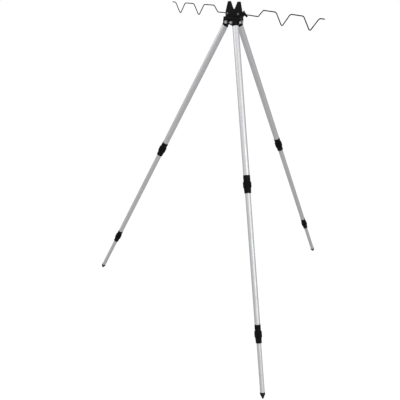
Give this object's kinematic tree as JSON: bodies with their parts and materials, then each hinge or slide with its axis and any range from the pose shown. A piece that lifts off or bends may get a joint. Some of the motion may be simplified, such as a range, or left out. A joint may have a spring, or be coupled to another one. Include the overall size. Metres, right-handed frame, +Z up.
{
  "type": "fishing rod tripod",
  "caption": "Telescopic aluminium tripod for resting fishing rods, with a V fork head, folding bent-wire side arms, twist-lock legs and pointed feet.",
  "frame": {"origin": "on the floor under the hub's centre line, at the height of the three foot tips", "axes": "+Z up; +X along the wire arms; +Y towards the rear leg, the way a rod lies in the fork"},
  "size_m": [0.9566, 0.8307, 1.078],
  "materials": {
    "head_plastic": "moulded satin black nylon",
    "lock_plastic": "moulded black, ribbed grip",
    "inner_plastic": "plain black acetal",
    "foot_plastic": "tough black plastic, scuffed at the point",
    "anodised_aluminium": "drawn tube, satin clear anodised",
    "zinc_steel": "bright zinc plate",
    "black_steel": "black zinc plate",
    "coated_wire": "steel wire with a thin black coating"
  },
  "bodies": {
    "head": {"hub": "head_plastic", "centre_bolt": "zinc_steel", "centre_nut": "zinc_steel", "rod_fork": "head_plastic", "hinge_bolts": "zinc_steel", "hinge_washers": "zinc_steel", "hinge_nuts": "zinc_steel", "arm_bolts": "black_steel", "arm_washers": "zinc_steel"},
    "left_arm": {"left_arm_puck": "head_plastic", "left_arm_wire": "coated_wire"},
    "right_arm": {"right_arm_puck": "head_plastic", "right_arm_wire": "coated_wire"},
    "left_wing": {"left_wing_nut": "head_plastic"},
    "right_wing": {"right_wing_nut": "head_plastic"},
    "rear_leg_upper": {"rear_knuckle": "head_plastic", "rear_tube_top": "anodised_aluminium", "rear_ferrule_upper": "lock_plastic", "rear_collet_upper": "inner_plastic"},
    "rear_lock_upper": {"rear_twist_nut_upper": "lock_plastic"},
    "rear_leg_middle": {"rear_tube_middle": "anodised_aluminium", "rear_bush_middle": "inner_plastic", "rear_ferrule_lower": "lock_plastic", "rear_collet_lower": "inner_plastic"},
    "rear_lock_lower": {"rear_twist_nut_lower": "lock_plastic"},
    "rear_leg_bottom": {"rear_tube_bottom": "anodised_aluminium", "rear_bush_bottom": "inner_plastic", "rear_foot": "foot_plastic"},
    "left_leg_upper": {"left_knuckle": "head_plastic", "left_tube_top": "anodised_aluminium", "left_ferrule_upper": "lock_plastic", "left_collet_upper": "inner_plastic"},
    "left_lock_upper": {"left_twist_nut_upper": "lock_plastic"},
    "left_leg_middle": {"left_tube_middle": "anodised_aluminium", "left_bush_middle": "inner_plastic", "left_ferrule_lower": "lock_plastic", "left_collet_lower": "inner_plastic"},
    "left_lock_lower": {"left_twist_nut_lower": "lock_plastic"},
    "left_leg_bottom": {"left_tube_bottom": "anodised_aluminium", "left_bush_bottom": "inner_plastic", "left_foot": "foot_plastic"},
    "right_leg_upper": {"right_knuckle": "head_plastic", "right_tube_top": "anodised_aluminium", "right_ferrule_upper": "lock_plastic", "right_collet_upper": "inner_plastic"},
    "right_lock_upper": {"right_twist_nut_upper": "lock_plastic"},
    "right_leg_middle": {"right_tube_middle": "anodised_aluminium", "right_bush_middle": "inner_plastic", "right_ferrule_lower": "lock_plastic", "right_collet_lower": "inner_plastic"},
    "right_lock_lower": {"right_twist_nut_lower": "lock_plastic"},
    "right_leg_bottom": {"right_tube_bottom": "anodised_aluminium", "right_bush_bottom": "inner_plastic", "right_foot": "foot_plastic"}
  },
  "joints": [
    {"name": "left_arm_fold", "type": "hinge", "parent": "head", "child": "left_arm", "pos_m": [-0.0245, 0.014, 1.0412], "axis": [0, 1, 0], "range_deg": [-90.4, 89.6]},
    {"name": "right_arm_fold", "type": "hinge", "parent": "head", "child": "right_arm", "pos_m": [0.0245, 0.014, 1.0412], "axis": [0, -1, 0], "range_deg": [-87.2, 92.8]},
    {"name": "left_wing_turn", "type": "hinge", "parent": "head", "child": "left_wing", "pos_m": [-0.0245, 0.024, 1.0412], "axis": [0, 1, 0], "range_deg": [0, 360]},
    {"name": "right_wing_turn", "type": "hinge", "parent": "head", "child": "right_wing", "pos_m": [0.0245, 0.024, 1.0412], "axis": [0, 1, 0], "range_deg": [0, 360]},
    {"name": "rear_leg_fold", "type": "hinge", "parent": "head", "child": "rear_leg_upper", "pos_m": [0, 0.022, 1.0172], "axis": [-1, 0, 0], "range_deg": [0, 27.43]},
    {"name": "rear_lock_upper_turn", "type": "hinge", "parent": "rear_leg_upper", "child": "rear_lock_upper", "pos_m": [0, 0.25694, 0.56454], "axis": [0, 0.4607, -0.8876], "range_deg": [0, 180]},
    {"name": "rear_middle_slide", "type": "slide", "parent": "rear_leg_upper", "child": "rear_leg_middle", "axis": [0, 0.4607, -0.8876], "range_m": [-0.394, 0]},
    {"name": "rear_lock_lower_turn", "type": "hinge", "parent": "rear_leg_middle", "child": "rear_lock_lower", "pos_m": [0, 0.46424, 0.16513], "axis": [0, 0.4607, -0.8876], "range_deg": [0, 180]},
    {"name": "rear_bottom_slide", "type": "slide", "parent": "rear_leg_middle", "child": "rear_leg_bottom", "axis": [0, 0.4607, -0.8876], "range_m": [-0.144, 0.25]},
    {"name": "left_leg_fold", "type": "hinge", "parent": "head", "child": "left_leg_upper", "pos_m": [-0.01905, -0.011, 1.0172], "axis": [0.5, -0.866, 0], "range_deg": [0, 27.43]},
    {"name": "left_lock_upper_turn", "type": "hinge", "parent": "left_leg_upper", "child": "left_lock_upper", "pos_m": [-0.22252, -0.12847, 0.56454], "axis": [-0.3989, -0.2303, -0.8876], "range_deg": [0, 180]},
    {"name": "left_middle_slide", "type": "slide", "parent": "left_leg_upper", "child": "left_leg_middle", "axis": [-0.3989, -0.2303, -0.8876], "range_m": [-0.394, 0]},
    {"name": "left_lock_lower_turn", "type": "hinge", "parent": "left_leg_middle", "child": "left_lock_lower", "pos_m": [-0.40204, -0.23212, 0.16513], "axis": [-0.3989, -0.2303, -0.8876], "range_deg": [0, 180]},
    {"name": "left_bottom_slide", "type": "slide", "parent": "left_leg_middle", "child": "left_leg_bottom", "axis": [-0.3989, -0.2303, -0.8876], "range_m": [-0.144, 0.25]},
    {"name": "right_leg_fold", "type": "hinge", "parent": "head", "child": "right_leg_upper", "pos_m": [0.01905, -0.011, 1.0172], "axis": [0.5, 0.866, 0], "range_deg": [0, 27.43]},
    {"name": "right_lock_upper_turn", "type": "hinge", "parent": "right_leg_upper", "child": "right_lock_upper", "pos_m": [0.22252, -0.12847, 0.56454], "axis": [0.3989, -0.2303, -0.8876], "range_deg": [0, 180]},
    {"name": "right_middle_slide", "type": "slide", "parent": "right_leg_upper", "child": "right_leg_middle", "axis": [0.3989, -0.2303, -0.8876], "range_m": [-0.394, 0]},
    {"name": "right_lock_lower_turn", "type": "hinge", "parent": "right_leg_middle", "child": "right_lock_lower", "pos_m": [0.40204, -0.23212, 0.16513], "axis": [0.3989, -0.2303, -0.8876], "range_deg": [0, 180]},
    {"name": "right_bottom_slide", "type": "slide", "parent": "right_leg_middle", "child": "right_leg_bottom", "axis": [0.3989, -0.2303, -0.8876], "range_m": [-0.144, 0.25]}
  ]
}
